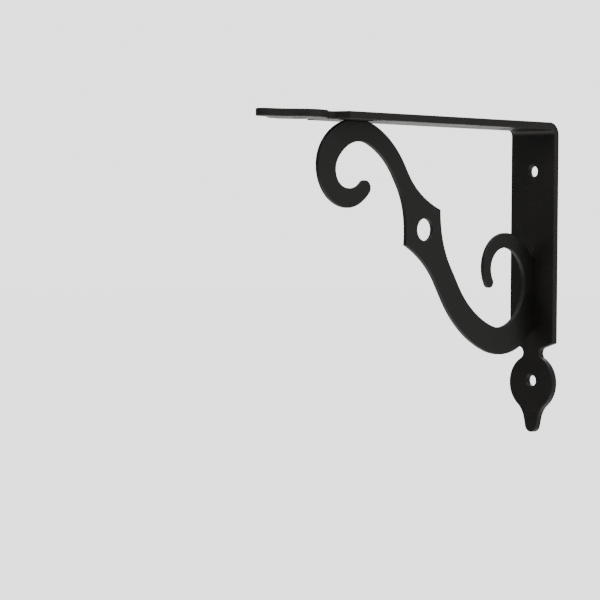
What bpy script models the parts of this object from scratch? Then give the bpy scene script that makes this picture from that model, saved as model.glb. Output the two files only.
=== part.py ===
"""Scroll shelf bracket in black powder-coated steel.

Two pieces: a flat strap bent square, whose wall leg and shelf leg each end in a spear finial, and
a flat scroll brace that stands on edge between the legs, in the middle of the strap's width.

World frame: metres, +Z up. The wall leg's outer face is the plane y = 0 and the shelf leg reaches
out along -Y. The origin is on that face, midway between the wall leg's two screw holes. X runs
across the strap's width.

The side view is drawn in "out" (distance from the wall leg's outer face) and "down" (distance
below the shelf leg's upper face).
"""

import math

import bmesh
import bpy
import numpy as np
from mathutils import Matrix

MM = 0.001

# Strap, in millimetres
STRAP_WIDTH = 25.4
STRAP_THICKNESS = 3.2
WALL_LEG = 139.7            # shelf face down to the tip of the wall leg
SHELF_LEG = 174.5           # wall face out to the tip of the shelf leg
BEND_INSIDE_RADIUS = 2.6
BEND_FACETS = 8
STRAP_EDGE_ROUND = 0.45

# Screw holes, two in each leg
SCREW_HOLE_DIAMETER = 4.8
BEND_SCREW = 21.8           # outer face of the other leg to the screw hole near the bend
FINIAL_SCREW = 23.3         # tip of the leg to the screw hole in its finial

# Spear finial, measured back from its tip: tongue, disc, neck and shoulders
TIP_RADIUS = 3.4
TONGUE_HALF_WIDTH = 3.9
TONGUE_FILLET = 10.8
DISC_CENTRE = 22.4
DISC_RADIUS = STRAP_WIDTH / 2
NECK_HALF_WIDTH = 4.8
NECK_FILLET = 2.7
SHOULDER = 40.3
SHOULDER_ROUND = 0.5

# Scroll brace: an S that leaves both ways from the lozenge in its middle
BRACE_THICKNESS = 2.0
BRACE_EDGE_ROUND = 0.35
LOZENGE_OUT = 76.4
LOZENGE_DOWN = 47.6
LOZENGE_HEADING = 57.8      # slope of the brace through the lozenge, in degrees
LOZENGE_WIDTH = 26.9        # cusp to cusp
LOZENGE_REACH = 24.1        # how far along each arm the lozenge tapers
CUSP_OFFSET = 0.7           # each cusp sits this far towards its own arm
BRACE_HOLE_OUT = 75.3       # the hole is a little off the lozenge's middle
BRACE_HOLE_DOWN = 48.6
BRACE_HOLE_DIAMETER = 9.7

# Each arm is a straight run and then arcs, all curling the same way.
# A row is: radius and turn of the arc in degrees, and the arm's width at its end.
SHELF_ARM_STRAIGHT = 28.4
SHELF_ARM_WIDTH = 8.4
SHELF_ARM_ARCS = (
    (38.6, 33.9, 8.9),
    (20.2, 76.9, 11.1),
    (12.8, 120.1, 8.4),
    (13.6, 54.6, 6.5),
)
WALL_ARM_STRAIGHT = 33.9
WALL_ARM_WIDTH = 11.9
WALL_ARM_ARCS = (
    (49.6, 38.3, 11.9),
    (21.3, 68.1, 13.3),
    (23.5, 102.5, 6.8),
    (12.4, 149.3, 5.0),
)

# Fit and facets
JOINT_GAP = 0.3             # brace to strap
ARC_STEP = 9.0              # degrees of arc between two points of an outline
STRAIGHT_STEP = 5.0         # millimetres between two points of a straight run of the brace
HOLE_SIDES = 24
EDGE_SEGMENTS = 2           # facets round each edge
WELD_DISTANCE = 1e-6        # metres

# Worked out from the above
BEND_CENTRE = STRAP_THICKNESS + BEND_INSIDE_RADIUS
BEND_NEUTRAL_RADIUS = BEND_INSIDE_RADIUS + STRAP_THICKNESS / 2
BEND_LENGTH = BEND_NEUTRAL_RADIUS * math.pi / 2
WALL_TIP = -(WALL_LEG - BEND_CENTRE)
SHELF_TIP = BEND_LENGTH + SHELF_LEG - BEND_CENTRE
ORIGIN_DOWN = (BEND_SCREW + WALL_LEG - FINIAL_SCREW) / 2

STRAP_COLOUR = (0.013, 0.012, 0.011, 1.0)
BRACE_COLOUR = (0.018, 0.018, 0.017, 1.0)


def clear_scene():
    for obj in list(bpy.data.objects):
        bpy.data.objects.remove(obj, do_unlink=True)


def make_collection(name):
    collection = bpy.data.collections.new(name)
    bpy.context.scene.collection.children.link(collection)
    return collection


def make_paint(name, colour, roughness):
    """Satin powder coat: a dark dielectric, so metallic stays at 0."""
    material = bpy.data.materials.new(name)
    material.use_nodes = True
    shader = material.node_tree.nodes["Principled BSDF"]
    shader.inputs["Base Color"].default_value = colour
    shader.inputs["Roughness"].default_value = roughness
    shader.inputs["Metallic"].default_value = 0.0
    material.diffuse_color = colour
    return material


def belt(discs, start_heading, end_heading):
    """Outline drawn like a belt round discs: arcs joined by the straight lines that touch both.

    A disc is (x, y, radius, side). Side 1 is a disc on the left of the path, which the outline
    turns left around, and side -1 is a hollow on its right.
    """
    headings = [start_heading]
    for (x0, y0, r0, side0), (x1, y1, r1, side1) in zip(discs, discs[1:]):
        distance = math.hypot(x1 - x0, y1 - y0)
        sine = (side1 * r1 - side0 * r0) / distance
        lean = math.asin(max(-1.0, min(1.0, sine)))
        headings.append(math.atan2(y1 - y0, x1 - x0) - lean)
    headings.append(end_heading)

    points = []
    for (x, y, radius, side), start, end in zip(discs, headings, headings[1:]):
        turn = side * ((side * (end - start)) % (2 * math.pi))
        steps = max(1, math.ceil(abs(math.degrees(turn)) / ARC_STEP))
        for angle in np.linspace(start, start + turn, steps + 1):
            points.append((x + side * radius * math.sin(angle), y - side * radius * math.cos(angle)))
    return points


def finial_discs():
    """Discs of half a finial, on its +x side, from the tip back to the shoulder."""
    fillet_x = TONGUE_HALF_WIDTH + TONGUE_FILLET
    fillet_back = math.sqrt((DISC_RADIUS + TONGUE_FILLET) ** 2 - fillet_x ** 2)
    notch_x = NECK_HALF_WIDTH + NECK_FILLET
    notch_back = math.sqrt((DISC_RADIUS + NECK_FILLET) ** 2 - notch_x ** 2)
    return [
        (0.0, TIP_RADIUS, TIP_RADIUS, 1),
        (fillet_x, DISC_CENTRE - fillet_back, TONGUE_FILLET, -1),
        (0.0, DISC_CENTRE, DISC_RADIUS, 1),
        (notch_x, DISC_CENTRE + notch_back, NECK_FILLET, -1),
        (STRAP_WIDTH / 2 - SHOULDER_ROUND, SHOULDER + SHOULDER_ROUND, SHOULDER_ROUND, 1),
    ]


def strap_outline():
    """Outline of the flat blank: x across it, y along it, with the bend starting at y = 0."""
    wall_end = [(x, WALL_TIP + back, r, side) for x, back, r, side in finial_discs()]
    shelf_end = [(x, SHELF_TIP - back, r, side) for x, back, r, side in finial_discs()]
    right = belt(wall_end + shelf_end[::-1], 0.0, math.pi)
    left = [(-x, y) for x, y in right[::-1]]
    return right[:-1] + left[:-1]


def circle(x, y, diameter):
    angles = np.arange(HOLE_SIDES) * 2 * math.pi / HOLE_SIDES
    return [(x + diameter / 2 * math.cos(a), y + diameter / 2 * math.sin(a)) for a in angles]


def strap_holes():
    places = (
        WALL_TIP + FINIAL_SCREW,
        BEND_CENTRE - BEND_SCREW,
        BEND_LENGTH + BEND_SCREW - BEND_CENTRE,
        SHELF_TIP - FINIAL_SCREW,
    )
    return [circle(0.0, y, SCREW_HOLE_DIAMETER) for y in places]


def arm_centreline(heading, straight, width, arcs):
    """Middle of one arm, from the lozenge to its curl: rows of x, y, heading, length, width."""
    x, y = LOZENGE_OUT, -LOZENGE_DOWN
    rows = []
    for along in np.linspace(CUSP_OFFSET, straight, math.ceil(straight / STRAIGHT_STEP) + 1):
        rows.append((x + along * math.cos(heading), y + along * math.sin(heading), heading, along, width))
    for radius, turn, end_width in arcs:
        x, y, heading, length, width = rows[-1]
        centre_x = x + radius * math.sin(heading)
        centre_y = y - radius * math.cos(heading)
        for part in np.linspace(0.0, 1.0, math.ceil(turn / ARC_STEP) + 1)[1:]:
            turned = heading - math.radians(turn) * part
            ease = part * part * (3 - 2 * part)
            rows.append((
                centre_x - radius * math.sin(turned),
                centre_y + radius * math.cos(turned),
                turned,
                length + radius * math.radians(turn) * part,
                width + (end_width - width) * ease,
            ))
    return np.array(rows)


def arm_edges(rows):
    """Both edges of an arm, and the half round that ends its curl.

    Half the width is set off square to the centreline on each side. Near the lozenge the width
    grows to LOZENGE_WIDTH as the square of the distance left to LOZENGE_REACH.
    """
    x, y, heading, length, width = rows.T
    edges = []
    for side in (1, -1):
        near = np.clip(1 - np.abs(length - side * CUSP_OFFSET) / LOZENGE_REACH, 0.0, 1.0) ** 2
        half = (width + (LOZENGE_WIDTH - width) * near) / 2
        edges.append(np.column_stack((x - side * half * np.sin(heading), y + side * half * np.cos(heading))))
    round_end = heading[-1] + np.radians(np.arange(90 - 2 * ARC_STEP, -90, -2 * ARC_STEP))
    end = np.column_stack((np.cos(round_end), np.sin(round_end))) * width[-1] / 2
    return edges[0], edges[1], end + (x[-1], y[-1])


def brace_outline():
    """Outline of the brace, x for out and y for up, with a flat where it meets each leg."""
    heading = math.radians(LOZENGE_HEADING)
    outline = []
    for arm_heading, straight, width, arcs in (
        (heading, SHELF_ARM_STRAIGHT, SHELF_ARM_WIDTH, SHELF_ARM_ARCS),
        (heading + math.pi, WALL_ARM_STRAIGHT, WALL_ARM_WIDTH, WALL_ARM_ARCS),
    ):
        left, right, end = arm_edges(arm_centreline(arm_heading, straight, width, arcs))
        outline += [left, end, right[::-1]]
    points = np.concatenate(outline)
    seat = STRAP_THICKNESS + JOINT_GAP
    points[:, 0] = np.maximum(points[:, 0], seat)
    points[:, 1] = np.minimum(points[:, 1], -seat)
    return [tuple(point) for point in points]


def plate_mesh(name, outlines, thickness, edge_round, matrix):
    """Flat plate with rounded edges, from its outline and its holes, as one closed mesh."""
    curve = bpy.data.curves.new(name, "CURVE")
    curve.dimensions = "2D"
    curve.fill_mode = "BOTH"
    curve.extrude = (thickness / 2 - edge_round) * MM
    curve.bevel_depth = edge_round * MM
    curve.bevel_resolution = EDGE_SEGMENTS - 1
    curve.offset = -edge_round * MM
    for points in outlines:
        spline = curve.splines.new("POLY")
        spline.points.add(len(points) - 1)
        spline.use_cyclic_u = True
        for point, (x, y) in zip(spline.points, points):
            point.co = (x * MM, y * MM, 0.0, 1.0)

    drawing = bpy.data.objects.new(name + "_drawing", curve)
    bpy.context.scene.collection.objects.link(drawing)
    drawing.matrix_world = matrix
    evaluated = drawing.evaluated_get(bpy.context.evaluated_depsgraph_get())
    mesh = bpy.data.meshes.new_from_object(evaluated)
    mesh.name = name
    bpy.data.objects.remove(drawing, do_unlink=True)

    work = bmesh.new()
    work.from_mesh(mesh)
    bmesh.ops.remove_doubles(work, verts=work.verts, dist=WELD_DISTANCE)
    bmesh.ops.recalc_face_normals(work, faces=work.faces)
    work.to_mesh(mesh)
    work.free()
    return mesh


def fold(x, along, height):
    """Place of a point of the flat blank on the bent strap.

    Before the bend is the wall leg, which runs up, and after it the shelf leg, which runs out. In
    between the strap turns a right angle about the bend's centre. Height is above the blank's
    middle, on its outer side.
    """
    radius = BEND_NEUTRAL_RADIUS + height
    angle = min(max(along, 0.0), BEND_LENGTH) / BEND_NEUTRAL_RADIUS
    out = BEND_CENTRE - radius * math.cos(angle) + max(along - BEND_LENGTH, 0.0)
    down = BEND_CENTRE - radius * math.sin(angle) - min(along, 0.0)
    return x * MM, -out * MM, (ORIGIN_DOWN - down) * MM


def fold_blank(mesh):
    """Cut the blank across at each facet of the bend, then fold it."""
    work = bmesh.new()
    work.from_mesh(mesh)
    for cut in np.linspace(0.0, BEND_LENGTH, BEND_FACETS + 1):
        geometry = work.verts[:] + work.edges[:] + work.faces[:]
        place = (0.0, cut * MM, 0.0)
        bmesh.ops.bisect_plane(work, geom=geometry, dist=1e-7, plane_co=place, plane_no=(0, 1, 0))
    for vertex in work.verts:
        x, along, height = vertex.co / MM
        vertex.co = fold(x, along, height)
    bmesh.ops.recalc_face_normals(work, faces=work.faces)
    work.to_mesh(mesh)
    work.free()


def add_piece(collection, name, mesh, material, matrix):
    piece = bpy.data.objects.new(name, mesh)
    piece.matrix_world = matrix
    mesh.materials.append(material)
    mesh.shade_smooth()
    mesh.set_sharp_from_angle(angle=math.radians(30))
    collection.objects.link(piece)
    return piece


def build_strap(collection):
    flat = Matrix.Identity(4)
    outlines = [strap_outline()] + strap_holes()
    mesh = plate_mesh("strap", outlines, STRAP_THICKNESS, STRAP_EDGE_ROUND, flat)
    fold_blank(mesh)
    paint = make_paint("strap_black_powder_coat", STRAP_COLOUR, 0.45)
    add_piece(collection, "strap", mesh, paint, flat)


def build_brace(collection):
    """The brace stands upright: its drawing's x points away from the wall leg and its y points up."""
    upright = Matrix(((0, 0, -1, 0), (-1, 0, 0, 0), (0, 1, 0, ORIGIN_DOWN * MM), (0, 0, 0, 1)))
    hole = circle(BRACE_HOLE_OUT, -BRACE_HOLE_DOWN, BRACE_HOLE_DIAMETER)
    outlines = [brace_outline(), hole]
    mesh = plate_mesh("scroll_brace", outlines, BRACE_THICKNESS, BRACE_EDGE_ROUND, upright)
    paint = make_paint("brace_black_powder_coat", BRACE_COLOUR, 0.45)
    add_piece(collection, "scroll_brace", mesh, paint, upright)


def main():
    clear_scene()
    collection = make_collection("scroll_shelf_bracket")
    build_strap(collection)
    build_brace(collection)


main()
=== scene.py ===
"""Looks of a scroll shelf bracket in satin black powder coat.

Two coated pieces stand for the two solids of the frame: the bent strap with its spear finials and
the flat scroll brace that stands on edge inside its corner. Both are plates: an outline in the
flat, a rounded edge carried round it, and a map that takes the flat plate to its place.

Frame: metres, +Z up. The wall leg's outer face is y = 0 and the shelf leg reaches out along -Y.
Outlines are drawn in millimetres. "Out" is the distance from the wall leg's outer face, and
"down" is the distance below the shelf leg's upper face.
"""

import math

import bmesh
import bpy
import numpy as np
from mathutils import Matrix, Vector


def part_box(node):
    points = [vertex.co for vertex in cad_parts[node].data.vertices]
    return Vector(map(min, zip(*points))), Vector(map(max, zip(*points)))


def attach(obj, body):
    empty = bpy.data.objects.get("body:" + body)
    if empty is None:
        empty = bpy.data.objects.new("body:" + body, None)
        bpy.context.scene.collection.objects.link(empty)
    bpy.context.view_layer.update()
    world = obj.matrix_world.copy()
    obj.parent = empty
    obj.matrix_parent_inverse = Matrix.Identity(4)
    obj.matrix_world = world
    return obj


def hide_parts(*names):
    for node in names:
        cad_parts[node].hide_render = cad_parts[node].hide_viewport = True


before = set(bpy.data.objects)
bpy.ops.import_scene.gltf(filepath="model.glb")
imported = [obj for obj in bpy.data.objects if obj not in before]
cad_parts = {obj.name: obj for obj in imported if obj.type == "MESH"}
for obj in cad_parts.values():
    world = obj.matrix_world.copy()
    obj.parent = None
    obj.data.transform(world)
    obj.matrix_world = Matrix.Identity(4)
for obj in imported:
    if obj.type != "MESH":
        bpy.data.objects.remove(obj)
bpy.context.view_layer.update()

MM = 0.001

# Sizes that the frame gives, in millimetres
strap_low, strap_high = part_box("strap")
brace_low, brace_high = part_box("scroll_brace")
STRAP_WIDTH = (strap_high.x - strap_low.x) / MM
WALL_LEG = (strap_high.z - strap_low.z) / MM
SHELF_LEG = (strap_high.y - strap_low.y) / MM
SHELF_FACE = strap_high.z / MM
BRACE_THICKNESS = (brace_high.x - brace_low.x) / MM

# Strap, in millimetres
STRAP_THICKNESS = 3.2
BEND_INSIDE_RADIUS = 2.6
STRAP_EDGE_ROUND = 0.45
SCREW_HOLE_RADIUS = 2.4
SCREW_HOLE_ROUND = 1.1
BEND_SCREW = 21.8           # outer face of the other leg to the screw hole near the bend
FINIAL_SCREW = 23.3         # tip of the leg to the screw hole in its finial
BEND_CENTRE = STRAP_THICKNESS + BEND_INSIDE_RADIUS
BEND_NEUTRAL_RADIUS = BEND_INSIDE_RADIUS + STRAP_THICKNESS / 2
BEND_LENGTH = BEND_NEUTRAL_RADIUS * math.pi / 2
WALL_TIP = BEND_CENTRE - WALL_LEG
SHELF_TIP = BEND_LENGTH + SHELF_LEG - BEND_CENTRE

# Spear finial, measured back from its tip
TIP_RADIUS = 3.4
TONGUE_HALF_WIDTH = 3.9
TONGUE_FILLET = 10.8
DISC_CENTRE = 22.4
DISC_RADIUS = STRAP_WIDTH / 2
NECK_HALF_WIDTH = 4.8
NECK_FILLET = 2.7
SHOULDER = 40.3
SHOULDER_ROUND = 0.5

# Scroll brace
BRACE_EDGE_ROUND = 0.35
LOZENGE_MIDDLE = (76.4, -47.6)
LOZENGE_HEADING = math.radians(57.8)
LOZENGE_WIDTH = 26.9        # cusp to cusp
LOZENGE_REACH = 24.1        # how far along each arm the lozenge tapers
CUSP_OFFSET = 0.7           # each cusp sits this far towards its own arm
BRACE_HOLE_MIDDLE = (75.3, -48.6)
BRACE_HOLE_RADIUS = 4.85
BRACE_SEAT = STRAP_THICKNESS

# Each arm: length of its straight run, its width there, and rows of radius, turn and end width
SHELF_ARM = (28.4, 8.4, ((38.6, 33.9, 8.9), (20.2, 76.9, 11.1), (12.8, 120.1, 8.4), (13.6, 54.6, 6.5)))
WALL_ARM = (33.9, 11.9, ((49.6, 38.3, 11.9), (21.3, 68.1, 13.3), (23.5, 102.5, 6.8), (12.4, 149.3, 5.0)))

# Fineness of the meshes
ARC_STEP = 3.0              # degrees of arc between two rungs
RUN_STEP = 1.2              # millimetres between two rungs of a straight run
BEND_RUNGS = 24
EDGE_FACETS = 6             # facets round each quarter turn of an edge
CROSS_FACES = 12            # faces across a plate
HOLE_RINGS = 6              # rings of faces round a hole
RING_CROWDING = 1.5         # power that crowds those rings towards the hole
SCREW_HOLE_REACH = 6.0      # half the length of the stretch rebuilt round a hole
BRACE_HOLE_REACH = 9.0
MERGE_DISTANCE = 1e-6       # metres
SHARP_ANGLE = 35.0          # degrees
EDGE_FADE = 0.7             # millimetres over which the edge mask fades into a face
MITRE_LIMIT = 0.5           # least divisor of a mitre, which keeps sharp corners from running out
LEAST_LENGTH = 1e-9         # millimetres, so that a line of no length divides nothing by zero

# Coats: colour, the tint in its clouds, and the lighter colour along the cut edges, which is a painted edge
# highlight
STRAP_COAT = ((0.0112, 0.0098, 0.0086, 1), (0.0138, 0.0122, 0.0107, 1), (0.021, 0.0195, 0.018, 1))
BRACE_COAT = ((0.0108, 0.0102, 0.0093, 1), (0.0138, 0.0131, 0.0120, 1), (0.020, 0.0193, 0.0182, 1))
SPECK_COLOUR = (0.09, 0.088, 0.084, 1.0)
SPECK_SHARE = 0.25          # how much of its colour a speck shows
EDGE_HIGHLIGHT_OUTSIDE_PATCHES = 0.35       # how much of the painted edge highlight shows outside its patches
COAT_IOR = 1.5

# Noises of the coat: waves per millimetre, detail and roughness
CLOUDS = (0.06, 3.0, 0.55)
GRAIN = (1.6, 2.0, 0.6)
ORANGE_PEEL = (0.75, 1.0, 0.4)
# Noise that sets the patches of the painted edge highlight
EDGE_HIGHLIGHT_PATCHES = (0.22, 4.0, 0.65)
SPECKS = (1.1, 0.0, 0.5)
STEEL_WAVES = (0.035, 1.0, 0.5)

# Noise levels between which a mask goes from 0 to 1
CLOUD_EDGE = (0.35, 0.65)
EDGE_HIGHLIGHT_PATCH_LEVELS = (0.45, 0.7)
SPECK_EDGE = (0.79, 0.83)

# Roughness of the coat, and what clouds, grain, the painted edge highlight's mask and specks add to it
SATIN = 0.40
CLOUD_DULLNESS = 0.05
GRAIN_DULLNESS = 0.05
EDGE_DULLNESS = 0.04
SPECK_DULLNESS = 0.1

# Depths of the relief, in metres
GRAIN_DEPTH = 0.000012
PEEL_DEPTH = 0.00005
WAVE_DEPTH = 0.0004

# Sockets of a Mix node that mixes colours: other kinds of value have sockets of the same names
MIX_FIRST, MIX_SECOND, MIX_RESULT = 6, 7, 2

# Camera: its place in metres, its angles in degrees, and its lens in millimetres
CAMERA_PLACE = (0.7365, -0.8729, 0.0170)
CAMERA_AZIMUTH = 45.53
CAMERA_TILT = -1.44
CAMERA_ROLL = 0.41
CAMERA_LENS = 150.5
CAMERA_NEAR, CAMERA_FAR = 0.05, 60.0

# Studio: brightness of the backdrop and the floor as the camera sees them, and of the dim
# surroundings that only light and reflections see
BACKDROP = 2.4
FLOOR_GLOW = 1.9
STUDIO_BASE = 0.2
STUDIO_COLOUR = (1.0, 0.995, 0.985, 1)
FLOOR_COLOUR = (0.8, 0.8, 0.8, 1)
FLOOR_ROUGHNESS = 0.9
FLOOR_HALF_SIZE = 40.0      # metres
FLOOR_DROP = 1.2            # metres below the origin

# Soft panels: middle, cosines where a panel starts and where it is full, and brightness
PANELS = (
    ((0.0, 0.0, -1.0), 0.25, 0.9, 1.15),
    ((0.0, 0.0, 1.0), 0.3, 0.95, 0.55),
    ((0.866, 0.5, 0.0), 0.82, 0.985, 0.48),
    ((-0.713, 0.701, -0.05), 0.93, 0.99, 1.6),
)

# Soft square lights: name, place in metres, and power in watts
LIGHTS = (("key", (0.9, -0.9, 1.3), 9.0), ("rim", (-0.6, 1.2, 1.0), 5.0))
LIGHT_TARGET = (0.0, -0.07, 0.0)
LIGHT_SIZE = 0.9


def belt(discs, start_heading, end_heading):
    """Outline drawn like a belt round discs: arcs joined by the straight lines that touch both.

    A disc is (x, y, radius, side). Side 1 is a disc on the left of the path, and side -1 is a
    hollow on its right. The line between two discs leans off the line of their centres by the
    angle whose sine is the difference of the signed radii over the distance.
    """
    headings = [start_heading]
    for (x0, y0, r0, side0), (x1, y1, r1, side1) in zip(discs, discs[1:]):
        sine = (side1 * r1 - side0 * r0) / math.hypot(x1 - x0, y1 - y0)
        lean = math.asin(max(-1.0, min(1.0, sine)))
        headings.append(math.atan2(y1 - y0, x1 - x0) - lean)
    headings.append(end_heading)
    arcs = []
    for (x, y, radius, side), start, end in zip(discs, headings, headings[1:]):
        turn = side * ((side * (end - start)) % (2 * math.pi))
        steps = max(2, math.ceil(abs(math.degrees(turn)) / ARC_STEP))
        angle = np.linspace(start, start + turn, steps + 1)
        arcs.append(np.column_stack((x + side * radius * np.sin(angle), y - side * radius * np.cos(angle))))
    return np.concatenate(arcs)


def finial_edge():
    """Right edge of a finial from its tip at y = 0 to the end of its shoulder, x across, y back."""
    fillet_x = TONGUE_HALF_WIDTH + TONGUE_FILLET
    fillet_back = math.sqrt((DISC_RADIUS + TONGUE_FILLET) ** 2 - fillet_x ** 2)
    notch_x = NECK_HALF_WIDTH + NECK_FILLET
    notch_back = math.sqrt((DISC_RADIUS + NECK_FILLET) ** 2 - notch_x ** 2)
    discs = [
        (0.0, TIP_RADIUS, TIP_RADIUS, 1),
        (fillet_x, DISC_CENTRE - fillet_back, TONGUE_FILLET, -1),
        (0.0, DISC_CENTRE, DISC_RADIUS, 1),
        (notch_x, DISC_CENTRE + notch_back, NECK_FILLET, -1),
        (STRAP_WIDTH / 2 - SHOULDER_ROUND, SHOULDER + SHOULDER_ROUND, SHOULDER_ROUND, 1),
    ]
    return belt(discs, 0.0, math.pi / 2)


def run_between(start, end):
    """Places along a straight run, its ends left out."""
    return np.linspace(start, end, max(2, math.ceil(abs(end - start) / RUN_STEP)) + 1)[1:-1]


def strap_rungs():
    """Left and right ends of the rungs of the flat strap, from the wall tip to the shelf tip.

    The finial's edge runs up from the wall tip, is joined by straight runs to the bend, whose
    rungs are close together, and comes back mirrored in the shelf leg.
    """
    finial = finial_edge()
    wall_end = finial + (0.0, WALL_TIP)
    shelf_end = (finial * (1, -1) + (0.0, SHELF_TIP))[::-1]
    places = np.concatenate((
        run_between(wall_end[-1, 1], 0.0),
        np.linspace(0.0, BEND_LENGTH, BEND_RUNGS + 1),
        run_between(BEND_LENGTH, shelf_end[0, 1]),
    ))
    middle = np.column_stack((np.full(len(places), STRAP_WIDTH / 2), places))
    right = np.concatenate((wall_end, middle, shelf_end))
    return right * (-1, 1), right


def arm_rungs(heading, arm):
    """Left and right ends of the rungs of one arm of the brace, and of its half-round end.

    The middle line runs straight and then turns clockwise through the arm's arcs. Half the width
    is set off square to it on each side. An arc's width eases from its start to its end by the
    smooth step. Near the lozenge the width grows to LOZENGE_WIDTH by the square of the share of
    LOZENGE_REACH that is left, which makes the two hollow sides that meet in a cusp.
    """
    straight, width, arcs = arm
    along = np.linspace(CUSP_OFFSET, straight, math.ceil(straight / RUN_STEP) + 1)
    rows = [np.column_stack((
        LOZENGE_MIDDLE[0] + along * math.cos(heading),
        LOZENGE_MIDDLE[1] + along * math.sin(heading),
        np.full(len(along), heading),
        along,
        np.full(len(along), width),
    ))]
    for radius, turn, end_width in arcs:
        x, y, start, length, width = rows[-1][-1]
        part = np.linspace(0.0, 1.0, math.ceil(turn / ARC_STEP) + 1)[1:]
        angle = start - math.radians(turn) * part
        rows.append(np.column_stack((
            x + radius * (math.sin(start) - np.sin(angle)),
            y + radius * (np.cos(angle) - math.cos(start)),
            angle,
            length + radius * math.radians(turn) * part,
            width + (end_width - width) * part * part * (3 - 2 * part),
        )))
    x, y, angle, length, width = np.concatenate(rows).T
    sides = []
    for side in (1, -1):
        flare = np.clip(1 - np.abs(length - side * CUSP_OFFSET) / LOZENGE_REACH, 0.0, 1.0) ** 2
        half = (width + (LOZENGE_WIDTH - width) * flare) / 2
        edge = np.column_stack((x - side * half * np.sin(angle), y + side * half * np.cos(angle)))
        round_end = angle[-1] + side * np.radians(np.arange(90 - 2 * ARC_STEP, -1, -2 * ARC_STEP))
        cap = np.column_stack((np.cos(round_end), np.sin(round_end))) * width[-1] / 2 + (x[-1], y[-1])
        sides.append(np.concatenate((edge, cap)))
    return sides


def brace_rungs():
    """Left and right ends of the rungs of the whole S, from the wall curl to the shelf curl.

    An end that would pass into a leg of the strap is pushed back to the leg's face.
    """
    shelf_left, shelf_right = arm_rungs(LOZENGE_HEADING, SHELF_ARM)
    wall_left, wall_right = arm_rungs(LOZENGE_HEADING + math.pi, WALL_ARM)
    left = np.concatenate((wall_right[::-1], shelf_left))
    right = np.concatenate((wall_left[::-1], shelf_right))
    for side in (left, right):
        side[:, 0] = np.maximum(side[:, 0], BRACE_SEAT)
        side[:, 1] = np.minimum(side[:, 1], -BRACE_SEAT)
    return left, right


def mitres(points):
    """Offset by one, square to each line of a closed outline that turns left, at its points.

    With n and m the outward normals of the lines before and after a point, the offset is their
    sum over one plus their product, so that both lines move out by one.
    """
    ahead = np.roll(points, -1, axis=0) - points
    length = np.linalg.norm(ahead, axis=1)
    normal = np.column_stack((ahead[:, 1], -ahead[:, 0])) / np.maximum(length, LEAST_LENGTH)[:, None]
    before = np.roll(normal, 1, axis=0)
    lean = 1 + np.sum(normal * before, axis=1)
    return (normal + before) / np.maximum(lean, MITRE_LIMIT)[:, None]


def edge_profile(thickness, edge_round):
    """Inset and height of the rounded edge of a plate, from its upper face to its lower one.

    Two quarter turns: the inset falls as radius times one minus the sine of the angle.
    """
    angle = np.radians(np.linspace(0, 90, EDGE_FACETS + 1))
    inset = edge_round * (1 - np.sin(angle))
    height = thickness / 2 - edge_round * (1 - np.cos(angle))
    return np.concatenate((inset, inset[::-1])), np.concatenate((height, -height[::-1]))


def sheet_faces(rows, columns, first_corner):
    """Corner numbers of the squares of a grid whose columns close on themselves."""
    row, column = np.meshgrid(np.arange(rows - 1), np.arange(columns), indexing="ij")
    here = row * columns + column
    beside = row * columns + (column + 1) % columns
    return np.stack((here, beside, beside + columns, here + columns), axis=-1) + first_corner


def rim(ends, offsets, inset, height):
    """Rounded edge of a plate: the rungs' ends pushed in by each inset, at each height."""
    flat = ends[:, None, :] - offsets[:, None, :] * inset[None, :, None]
    grid = flat.shape[:2]
    return np.dstack((flat, np.broadcast_to(height, grid), np.ones(grid)))


def flat_face(start, end):
    """Face between two edges, its points closer together towards both.

    A point's share of the way across follows the sine. Its edge mask falls off exponentially
    with its distance from the nearer edge.
    """
    across = np.linspace(-1, 1, CROSS_FACES + 1)
    share = ((1 + np.sin(across * math.pi / 2)) / 2)[None, :, None]
    grid = start[:, None, :] * (1 - share) + end[:, None, :] * share
    width = np.linalg.norm(end - start, axis=1)[:, None]
    reach = width * np.minimum(share[..., 0], 1 - share[..., 0])
    grid[..., 3] = np.exp(-reach / EDGE_FADE)
    return grid


def boundary(grid, first, last):
    """Edge of the stretch of a face between two rungs: over the first, up, over the last, down."""
    rungs = grid[first:last + 1]
    return np.concatenate((rungs[0, :-1], rungs[:-1, -1], rungs[-1, :0:-1], rungs[:0:-1, 0]))


def hole_sheet(upper_edge, lower_edge, middle, radius, inset, height):
    """Closed rings from one boundary in to a round hole, down its wall and out to the other.

    A ring is a blend of the boundary and the hole's rim, by a power of the share of the way that
    is left. The wall stands off the hole's radius by the inset at each height.
    """
    away = upper_edge[:, :2] - middle
    around = away / np.linalg.norm(away, axis=1)[:, None]
    grid = (len(height), len(around))
    wall = np.dstack((
        middle + around[None, :, :] * (radius + inset)[:, None, None],
        np.broadcast_to(height[:, None], grid),
        np.ones(grid),
    ))
    part = np.linspace(1, 0, HOLE_RINGS + 1)[:-1, None, None] ** RING_CROWDING
    rings = []
    for edge, hole_rim in ((upper_edge, wall[0]), (lower_edge, wall[-1])):
        ring = edge[None] * part + hole_rim[None] * (1 - part)
        reach = np.linalg.norm(ring[..., :2] - middle, axis=2) - radius
        mask = np.maximum(np.exp(-reach / EDGE_FADE), edge[:, 3] * part[..., 0])
        ring[1:, :, 3] = mask[1:]
        rings.append(ring)
    return np.concatenate((rings[0], wall, rings[1][::-1]))


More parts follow.
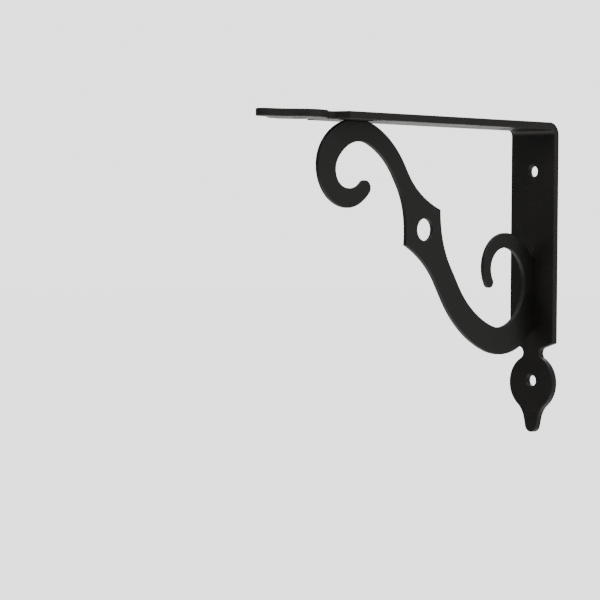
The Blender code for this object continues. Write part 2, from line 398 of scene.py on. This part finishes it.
def plate(left, right, thickness, edge_round, holes):
    """Points (x, y, height, edge mask) and faces of a plate with rounded edges and round holes.

    Each rung becomes a closed loop: across the upper face, round the right edge, back across the
    lower face and round the left edge. A hole's stretch of rungs has no upper and lower faces,
    and the hole's own sheet of rings closes it.
    """
    count = len(left)
    offsets = mitres(np.concatenate((left[::-1], right)))
    profile = edge_profile(thickness, edge_round)
    right_rim = rim(right, offsets[count:], *profile)
    left_rim = rim(left, offsets[:count][::-1], *profile)[:, ::-1]
    upper = flat_face(left_rim[:, -1], right_rim[:, 0])
    lower = flat_face(right_rim[:, -1], left_rim[:, 0])
    loop = np.concatenate((upper, right_rim[:, 1:-1], lower, left_rim[:, 1:-1]), axis=1)
    columns = loop.shape[1]
    lower_start = upper.shape[1] + right_rim.shape[1] - 2
    squares = sheet_faces(count, columns, 0)
    kept = np.ones(squares.shape[:2], bool)
    points = [loop.reshape(-1, 4)]
    hole_faces = []
    total = count * columns
    for middle, radius, rim_round, first, last in holes:
        kept[first:last, :CROSS_FACES] = False
        kept[first:last, lower_start:lower_start + CROSS_FACES] = False
        upper_edge = boundary(upper, first, last)
        lower_edge = boundary(lower[:, ::-1], first, last)
        sheet = hole_sheet(upper_edge, lower_edge, middle, radius, *edge_profile(thickness, rim_round))
        rings, corners = sheet.shape[:2]
        hole_faces.append(sheet_faces(rings, corners, total).reshape(-1, 4))
        points.append(sheet.reshape(-1, 4))
        total += rings * corners
    return np.concatenate(points), np.concatenate([squares[kept]] + hole_faces)


def hole_in(left, right, middle, radius, rim_round, reach):
    """A hole, how its rim is rounded, and the first and last rung of the stretch rebuilt round it."""
    centres = (left + right) / 2
    distance = np.linalg.norm(centres - middle, axis=1)
    nearest = int(np.argmin(distance))
    first = nearest - int(np.argmax(distance[nearest::-1] > reach))
    last = nearest + int(np.argmax(distance[nearest:] > reach))
    return np.array(middle), radius, rim_round, first, last


def fold(points):
    """Flat strap to bent strap, in metres.

    Before the bend is the wall leg, which runs up, and after it the shelf leg, which runs out.
    In between the strap turns a right angle about the bend's centre, at the neutral radius plus
    the point's height.
    """
    x, along, height = points.T
    radius = BEND_NEUTRAL_RADIUS + height
    angle = np.clip(along, 0, BEND_LENGTH) / BEND_NEUTRAL_RADIUS
    out = BEND_CENTRE - radius * np.cos(angle) + np.maximum(along - BEND_LENGTH, 0)
    down = BEND_CENTRE - radius * np.sin(angle) - np.minimum(along, 0)
    return np.column_stack((x, -out, SHELF_FACE - down)) * MM


def stand_up(points):
    """Flat brace to its place between the legs, in metres: x goes out, y goes up, height across."""
    out, up, height = points.T
    return np.column_stack((-height, -out, SHELF_FACE + up)) * MM


def make_piece(name, points, faces, place, material, node):
    """One closed mesh object that stands for a CAD node and rides on the root body."""
    mesh = bpy.data.meshes.new(name)
    mesh.from_pydata(place(points[:, :3]), [], faces)
    mask = mesh.attributes.new("edge", "FLOAT", "POINT")
    mask.data.foreach_set("value", points[:, 3].astype(np.float32))
    work = bmesh.new()
    work.from_mesh(mesh)
    bmesh.ops.remove_doubles(work, verts=work.verts, dist=MERGE_DISTANCE)
    bmesh.ops.recalc_face_normals(work, faces=work.faces)
    work.to_mesh(mesh)
    work.free()
    mesh.shade_smooth()
    mesh.set_sharp_from_angle(angle=math.radians(SHARP_ANGLE))
    mesh.materials.append(material)
    piece = bpy.data.objects.new(name, mesh)
    bpy.context.scene.collection.objects.link(piece)
    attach(piece, "root")
    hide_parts(node)


class Wire:
    """A socket of a node tree that takes arithmetic: an expression on it adds its Math nodes."""

    def __init__(self, tree, socket=None):
        self.tree = tree
        self.socket = socket

    def node(self, kind, settings=None, inputs=None, output=0):
        """A new node of that kind. Its settings are set first, and then its sockets' values or links."""
        made = self.tree.nodes.new(kind)
        for name, value in (settings or {}).items():
            setattr(made, name, value)
        for key, value in (inputs or {}).items():
            if isinstance(value, Wire):
                self.tree.links.new(value.socket, made.inputs[key])
            else:
                made.inputs[key].default_value = value
        return Wire(self.tree, made.outputs[output])

    def math(self, operation, *values):
        return self.node("ShaderNodeMath", {"operation": operation}, dict(enumerate(values)))

    def __add__(self, other):
        return self.math("ADD", self, other)

    __radd__ = __add__

    def __mul__(self, other):
        return self.math("MULTIPLY", self, other)

    __rmul__ = __mul__

    def __sub__(self, other):
        return self.math("SUBTRACT", self, other)

    def __rsub__(self, other):
        return self.math("SUBTRACT", other, self)

    def noise(self, waves, detail, roughness):
        """Noise on this vector, of so many waves per millimetre."""
        inputs = {"Vector": self, "Scale": waves / MM, "Detail": detail, "Roughness": roughness}
        return self.node("ShaderNodeTexNoise", {"normalize": True}, inputs)

    def smooth(self, low, high):
        """0 below low, 1 above high, and a smooth step in between."""
        inputs = {"Value": self, "From Min": low, "From Max": high}
        return self.node("ShaderNodeMapRange", {"interpolation_type": "SMOOTHSTEP"}, inputs)

    def blend(self, first, second):
        """The first colour where this is 0 and the second where it is 1."""
        settings = {"data_type": "RGBA", "blend_type": "MIX"}
        inputs = {"Factor": self, MIX_FIRST: first, MIX_SECOND: second}
        return self.node("ShaderNodeMix", settings, inputs, MIX_RESULT)

    def relief(self, depth, under=None):
        """Normal of a surface that stands out by so many metres where this is 1, over another normal."""
        inputs = {"Strength": 1.0, "Distance": depth, "Height": self}
        if under is not None:
            inputs["Normal"] = under
        return self.node("ShaderNodeBump", None, inputs)

    def feed(self, node, name):
        self.tree.links.new(self.socket, node.inputs[name])


def powder_coat(name, colour, tint, edge_highlight_colour):
    """Satin black powder coat.

    Colour: two near blacks in faint clouds, a painted highlight of lighter colour along the cut edges, in
    patches, and a few
    specks of dust. Gloss: satin, a little duller in the clouds and on the edges. Relief: the
    orange peel of a sprayed coat, a fine grain under it and a slow waviness of the steel.
    """
    material = bpy.data.materials.new(name)
    material.use_nodes = True
    tree = material.node_tree
    shader = tree.nodes["Principled BSDF"]
    start = Wire(tree)
    place = start.node("ShaderNodeTexCoord", output="Object")
    edge = start.node("ShaderNodeAttribute", {"attribute_name": "edge"}, output="Fac")

    clouds = place.noise(*CLOUDS).smooth(*CLOUD_EDGE)
    grain = place.noise(*GRAIN)
    peel = place.noise(*ORANGE_PEEL)
    # Patches of the painted edge highlight, laid on the mask of the cut edges
    highlight_patches = place.noise(*EDGE_HIGHLIGHT_PATCHES).smooth(*EDGE_HIGHLIGHT_PATCH_LEVELS)
    painted_edge_highlight = edge * (EDGE_HIGHLIGHT_OUTSIDE_PATCHES + (1 - EDGE_HIGHLIGHT_OUTSIDE_PATCHES) * highlight_patches)
    specks = place.noise(*SPECKS).smooth(*SPECK_EDGE)

    base = clouds.blend(colour, tint)
    # Painted edge highlight: a lighter colour mixed in along the cut edges
    base = painted_edge_highlight.blend(base, edge_highlight_colour)
    base = (specks * SPECK_SHARE).blend(base, SPECK_COLOUR)
    base.feed(shader, "Base Color")

    roughness = SATIN + CLOUD_DULLNESS * clouds + GRAIN_DULLNESS * grain
    roughness = roughness + EDGE_DULLNESS * painted_edge_highlight + SPECK_DULLNESS * specks
    roughness.feed(shader, "Roughness")

    waves = place.noise(*STEEL_WAVES)
    fine = grain.relief(GRAIN_DEPTH)
    sprayed = peel.relief(PEEL_DEPTH, fine)
    waves.relief(WAVE_DEPTH, sprayed).feed(shader, "Normal")
    shader.inputs["Metallic"].default_value = 0.0
    shader.inputs["IOR"].default_value = COAT_IOR
    return material


def build_strap():
    left, right = strap_rungs()
    places = (
        WALL_TIP + FINIAL_SCREW,
        BEND_CENTRE - BEND_SCREW,
        BEND_LENGTH + BEND_SCREW - BEND_CENTRE,
        SHELF_TIP - FINIAL_SCREW,
    )
    holes = [
        hole_in(left, right, (0.0, along), SCREW_HOLE_RADIUS, SCREW_HOLE_ROUND, SCREW_HOLE_REACH)
        for along in places
    ]
    points, faces = plate(left, right, STRAP_THICKNESS, STRAP_EDGE_ROUND, holes)
    coat = powder_coat("strap_powder_coat", *STRAP_COAT)
    make_piece("strap_coated", points, faces, fold, coat, "strap")


def build_brace():
    left, right = brace_rungs()
    hole = hole_in(left, right, BRACE_HOLE_MIDDLE, BRACE_HOLE_RADIUS, BRACE_EDGE_ROUND, BRACE_HOLE_REACH)
    points, faces = plate(left, right, BRACE_THICKNESS, BRACE_EDGE_ROUND, [hole])
    coat = powder_coat("brace_powder_coat", *BRACE_COAT)
    make_piece("scroll_brace_coated", points, faces, stand_up, coat, "scroll_brace")


def build_floor():
    """Pale floor, far enough below the bracket to leave room for a view from underneath.

    Its glow keeps it pale. Reflections and bounced light go through it to the studio's own glow.
    """
    half = FLOOR_HALF_SIZE
    corners = [(x * half, y * half, -FLOOR_DROP) for x, y in ((-1, -1), (1, -1), (1, 1), (-1, 1))]
    mesh = bpy.data.meshes.new("floor")
    mesh.from_pydata(corners, [], [(0, 1, 2, 3)])
    material = bpy.data.materials.new("pale_floor")
    material.use_nodes = True
    shader = material.node_tree.nodes["Principled BSDF"]
    shader.inputs["Base Color"].default_value = FLOOR_COLOUR
    shader.inputs["Roughness"].default_value = FLOOR_ROUGHNESS
    shader.inputs["Emission Color"].default_value = (1, 1, 1, 1)
    shader.inputs["Emission Strength"].default_value = FLOOR_GLOW
    mesh.materials.append(material)
    floor = bpy.data.objects.new("floor", mesh)
    floor.visible_diffuse = False
    floor.visible_glossy = False
    bpy.context.scene.collection.objects.link(floor)


def add_light(name, place, power):
    """Soft square light that faces the bracket and that the camera doesn't see."""
    data = bpy.data.lights.new(name, "AREA")
    data.shape = "SQUARE"
    data.size = LIGHT_SIZE
    data.energy = power
    light = bpy.data.objects.new(name, data)
    light.location = place
    light.rotation_euler = (Vector(LIGHT_TARGET) - Vector(place)).to_track_quat("-Z", "Y").to_euler()
    light.visible_camera = False
    bpy.context.scene.collection.objects.link(light)


def build_studio():
    """Soft studio: a plain pale backdrop, a dim glow all round, four soft panels and two lights.

    The camera sees the backdrop alone. The panels stand below, above and on two sides. A panel's
    brightness eases in with the cosine of the angle between a direction and the panel's middle.
    """
    world = bpy.data.worlds.new("studio")
    bpy.context.scene.world = world
    world.use_nodes = True
    tree = world.node_tree
    start = Wire(tree)
    direction = start.node("ShaderNodeTexCoord", output="Generated")
    glow = 0.0
    for middle, low, high, level in PANELS:
        unit = tuple(Vector(middle).normalized())
        dot = {"operation": "DOT_PRODUCT"}
        cosine = start.node("ShaderNodeVectorMath", dot, {0: direction, 1: unit}, "Value")
        glow = cosine.smooth(low, high) * level + glow
    seen = start.node("ShaderNodeLightPath", output="Is Camera Ray")
    strength = seen * BACKDROP + (1 - seen) * (glow + STUDIO_BASE)
    background = tree.nodes["Background"]
    strength.feed(background, "Strength")
    background.inputs["Color"].default_value = STUDIO_COLOUR
    for name, place, power in LIGHTS:
        add_light(name, place, power)


def build_camera():
    """Camera at the photograph's viewing angle, turned by azimuth, tilt and a slight roll."""
    azimuth, tilt, roll = (math.radians(a) for a in (CAMERA_AZIMUTH, CAMERA_TILT, CAMERA_ROLL))
    ahead = Vector((-math.sin(azimuth) * math.cos(tilt), math.cos(azimuth) * math.cos(tilt), math.sin(tilt)))
    level = Vector((math.cos(azimuth), math.sin(azimuth), 0.0))
    upward = level.cross(ahead)
    right = level * math.cos(roll) + upward * math.sin(roll)
    up = upward * math.cos(roll) - level * math.sin(roll)
    data = bpy.data.cameras.new("camera")
    data.lens = CAMERA_LENS
    data.clip_start = CAMERA_NEAR
    data.clip_end = CAMERA_FAR
    camera = bpy.data.objects.new("camera", data)
    turn = Matrix((right, up, -ahead)).transposed().to_4x4()
    camera.matrix_world = Matrix.Translation(CAMERA_PLACE) @ turn
    bpy.context.scene.collection.objects.link(camera)
    bpy.context.scene.camera = camera


build_camera()
build_strap()
build_brace()
build_floor()
build_studio()
